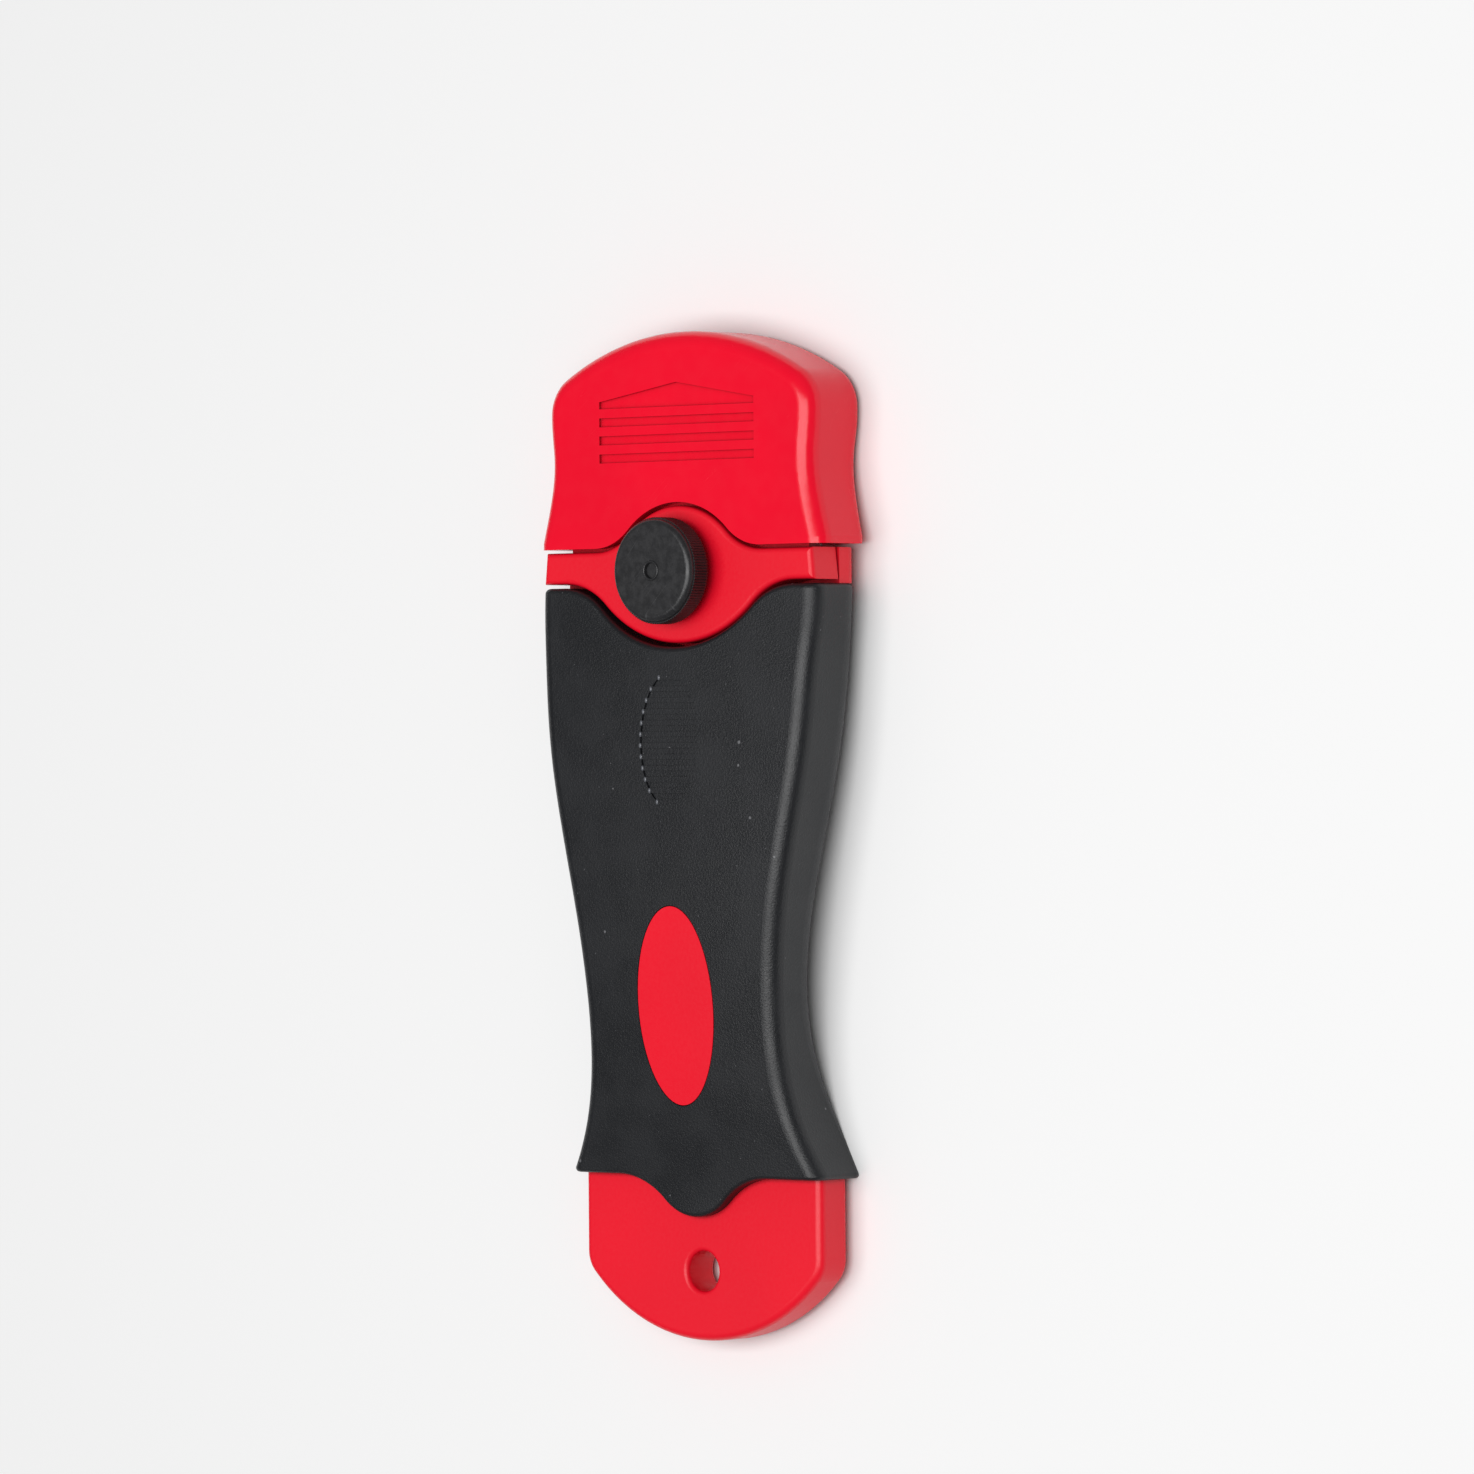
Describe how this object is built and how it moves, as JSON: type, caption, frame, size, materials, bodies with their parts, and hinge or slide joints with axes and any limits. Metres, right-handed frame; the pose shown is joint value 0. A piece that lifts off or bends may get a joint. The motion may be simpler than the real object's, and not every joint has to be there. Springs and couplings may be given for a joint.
{
  "type": "ceramic hob scraper",
  "caption": "Flat hand scraper with a waisted soft grip, a knob-clamped straight blade, a hanging hole and a pull-off blade guard.",
  "frame": {"origin": "middle of the object's length and width, on the surface that it lies on", "axes": "+X to the right seen from the front, +Y towards the blade, +Z out of the front face"},
  "size_m": [0.0482, 0.1289, 0.0155],
  "materials": {
    "red_plastic": "satin moulded",
    "guard_plastic": "satin moulded",
    "grip_rubber": "matte soft touch",
    "knob_plastic": "satin",
    "zinc_steel": "bright zinc plated",
    "blade_steel": "ground"
  },
  "bodies": {
    "handle": {"handle_core": "red_plastic", "grip_sleeve": "grip_rubber", "screw_nut": "zinc_steel"},
    "blade": {"scraper_blade": "blade_steel"},
    "plate": {"clamp_plate": "red_plastic", "knob_washer": "zinc_steel"},
    "knob": {"clamp_knob": "knob_plastic", "clamp_screw": "zinc_steel"},
    "guard": {"blade_guard": "guard_plastic"}
  },
  "joints": [
    {"name": "guard_pull", "type": "slide", "parent": "handle", "child": "guard", "axis": [0, 1, 0], "range_m": [0, 0.03]},
    {"name": "blade_slide", "type": "slide", "parent": "handle", "child": "blade", "axis": [0, 1, 0], "range_m": [0, 0.0015]},
    {"name": "plate_lift", "type": "slide", "parent": "handle", "child": "plate", "axis": [0, 0, 1], "range_m": [0, 0.000875]},
    {"name": "knob_turn", "type": "hinge", "parent": "plate", "child": "knob", "pos_m": [0, 0.03385, 0.012], "axis": [0, 0, 1], "range_deg": [0, 450]}
  ],
  "couplings": [
    {"joint": "knob_turn", "follows": "plate_lift", "rad_per_m": 8976}
  ]
}
